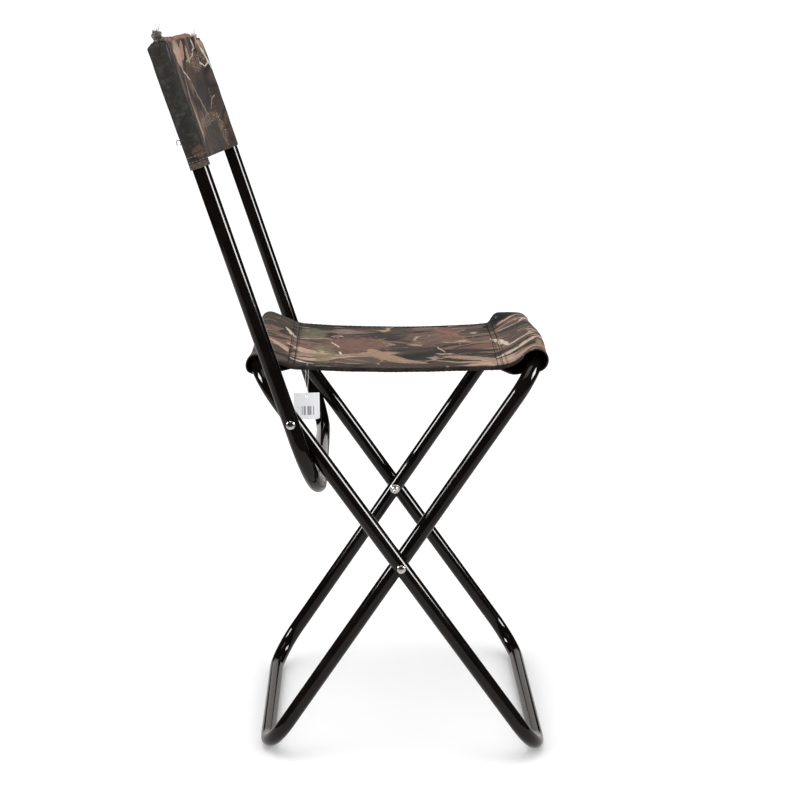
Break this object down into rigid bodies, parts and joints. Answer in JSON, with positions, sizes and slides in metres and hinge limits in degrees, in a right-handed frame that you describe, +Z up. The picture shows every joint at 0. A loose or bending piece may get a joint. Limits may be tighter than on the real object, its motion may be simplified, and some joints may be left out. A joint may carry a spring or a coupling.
{
  "type": "folding camp chair",
  "caption": "Folding camp chair: two crossed steel tube leg frames, a fabric seat sling between their top bars and a tube back frame with a fabric band.",
  "frame": {"origin": "on the ground, under the middle of the whole chair's bounding box, with the chair open for use", "axes": "+Z up, X across the width, the chair faces -Y and its back is on +Y"},
  "size_m": [0.3594, 0.3813, 0.7376],
  "materials": {
    "black_enamel": "gloss",
    "bare_steel": "satin",
    "nickel": "gloss",
    "black_plastic": "matte",
    "camo_cloth": "woven",
    "camo_cloth_back": "woven",
    "edge_tape": "woven",
    "hem_cloth": "woven",
    "white_card": "matte",
    "clear_nylon": "gloss"
  },
  "bodies": {
    "outer_legs": {"outer_leg_frame": "black_enamel", "outer_frame_ferrule": "bare_steel", "leg_rivet_left": "nickel", "leg_rivet_right": "nickel", "leg_spacer_left": "nickel", "leg_spacer_right": "nickel", "leg_rivet_washer_left": "nickel", "leg_rivet_washer_right": "nickel", "back_rivet_left": "nickel", "back_rivet_right": "nickel", "back_spacer_left": "nickel", "back_spacer_right": "nickel", "back_rivet_washer_left": "nickel", "back_rivet_washer_right": "nickel"},
    "inner_legs": {"inner_leg_frame": "black_enamel", "inner_frame_ferrule": "bare_steel"},
    "back": {"back_frame": "black_enamel", "upright_cap_left": "black_plastic", "upright_cap_right": "black_plastic", "back_sling": "camo_cloth_back", "back_hem": "hem_cloth"},
    "seat_rear": {"seat_sling_rear": "camo_cloth", "seat_binding_rear_left": "edge_tape", "seat_binding_rear_right": "edge_tape"},
    "seat_front": {"seat_sling_front": "camo_cloth", "seat_binding_front_left": "edge_tape", "seat_binding_front_right": "edge_tape"},
    "tag": {"hang_tag": "white_card", "tag_loop": "clear_nylon"}
  },
  "joints": [
    {"name": "leg_fold", "type": "hinge", "parent": "outer_legs", "child": "inner_legs", "pos_m": [0, -0.0405, 0.2147], "axis": [-1, 0, 0], "range_deg": [0, 60], "deforming": ["seat_sling_rear", "seat_sling_front", "seat_binding_rear_left", "seat_binding_rear_right", "seat_binding_front_left", "seat_binding_front_right"]},
    {"name": "back_fold", "type": "hinge", "parent": "outer_legs", "child": "back", "pos_m": [0, 0.06598, 0.36964], "axis": [1, 0, 0], "range_deg": [0, 158]},
    {"name": "seat_rear_fold", "type": "hinge", "parent": "outer_legs", "child": "seat_rear", "pos_m": [0, 0.0994, 0.41826], "axis": [1, 0, 0], "range_deg": [0, 49]},
    {"name": "seat_front_fold", "type": "hinge", "parent": "inner_legs", "child": "seat_front", "pos_m": [0, -0.1804, 0.41826], "axis": [-1, 0, 0], "range_deg": [0, 49]},
    {"name": "tag_swing", "type": "hinge", "parent": "seat_rear", "child": "tag", "pos_m": [-0.116, 0.0504, 0.41606], "axis": [1, 0, 0], "range_deg": [-50, 50]}
  ],
  "couplings": [
    {"joint": "seat_rear_fold", "follows": "leg_fold", "ratio": 0.8163},
    {"joint": "seat_front_fold", "follows": "leg_fold", "ratio": 0.8163}
  ]
}
